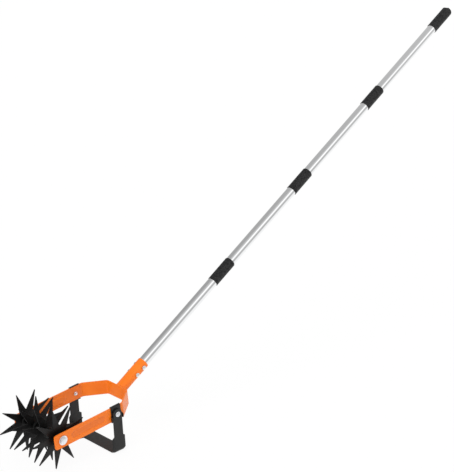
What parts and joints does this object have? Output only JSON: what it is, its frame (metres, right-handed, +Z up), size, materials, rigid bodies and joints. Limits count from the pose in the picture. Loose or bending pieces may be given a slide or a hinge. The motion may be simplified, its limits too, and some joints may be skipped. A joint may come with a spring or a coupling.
{
  "type": "rotary cultivator",
  "caption": "Hand-pushed rotary cultivator: free-spinning star wheels in an orange steel yoke, a swinging stirrup hoe behind them, and a long sectional tube pole with a grip.",
  "frame": {"origin": "on the ground, under the middle of the tool's box at rest", "axes": "+X from the star wheels back to the hand grip, +Y across the tool to its right side seen from the grip, +Z up"},
  "size_m": [1.4792, 0.1726, 0.8715],
  "materials": {
    "orange_paint": "satin",
    "black_paint": "satin",
    "bright_zinc": "bright plated",
    "pole_steel": "polished",
    "black_plastic": "fine grained"
  },
  "bodies": {
    "frame": {"yoke": "orange_paint", "pole_socket": "orange_paint", "axle_bolt": "bright_zinc", "axle_nut": "bright_zinc", "axle_washer_left": "bright_zinc", "axle_washer_right": "bright_zinc", "axle_spacer_1": "black_paint", "axle_spacer_2": "black_paint", "axle_spacer_3": "black_paint", "axle_spacer_4": "black_paint", "axle_spacer_5": "black_paint", "stirrup_bracket_left": "black_paint", "stirrup_bracket_right": "black_paint", "pivot_washer_left": "bright_zinc", "pivot_washer_right": "bright_zinc", "pivot_bolt_left": "bright_zinc", "pivot_bolt_right": "bright_zinc", "pivot_nut_left": "bright_zinc", "pivot_nut_right": "bright_zinc", "socket_bolt_1": "bright_zinc", "socket_bolt_2": "bright_zinc", "socket_nut_1": "bright_zinc", "socket_nut_2": "bright_zinc", "pole_section_1": "pole_steel", "pole_section_2": "pole_steel", "pole_section_3": "pole_steel", "pole_section_4": "pole_steel", "pole_coupler_1": "black_plastic", "pole_coupler_2": "black_plastic", "pole_coupler_3": "black_plastic", "coupler_plug_1": "black_plastic", "coupler_plug_2": "black_plastic", "coupler_plug_3": "black_plastic", "hand_grip": "black_plastic"},
    "star_1": {"star_wheel_1": "black_paint"},
    "star_2": {"star_wheel_2": "black_paint"},
    "star_3": {"star_wheel_3": "black_paint"},
    "star_4": {"star_wheel_4": "black_paint"},
    "stirrup": {"stirrup_hoe": "black_paint"}
  },
  "joints": [
    {"name": "star_wheel_1_spin", "type": "hinge", "parent": "frame", "child": "star_1", "pos_m": [-0.66685, 0, 0.08064], "axis": [0, 1, 0], "continuous": true},
    {"name": "star_wheel_2_spin", "type": "hinge", "parent": "frame", "child": "star_2", "pos_m": [-0.66685, 0, 0.08064], "axis": [0, 1, 0], "continuous": true},
    {"name": "star_wheel_3_spin", "type": "hinge", "parent": "frame", "child": "star_3", "pos_m": [-0.66685, 0, 0.08064], "axis": [0, 1, 0], "continuous": true},
    {"name": "star_wheel_4_spin", "type": "hinge", "parent": "frame", "child": "star_4", "pos_m": [-0.66685, 0, 0.08064], "axis": [0, 1, 0], "continuous": true},
    {"name": "stirrup_swing", "type": "hinge", "parent": "frame", "child": "stirrup", "pos_m": [-0.51866, 0, 0.09621], "axis": [0, 1, 0], "range_deg": [-8, 2]}
  ]
}
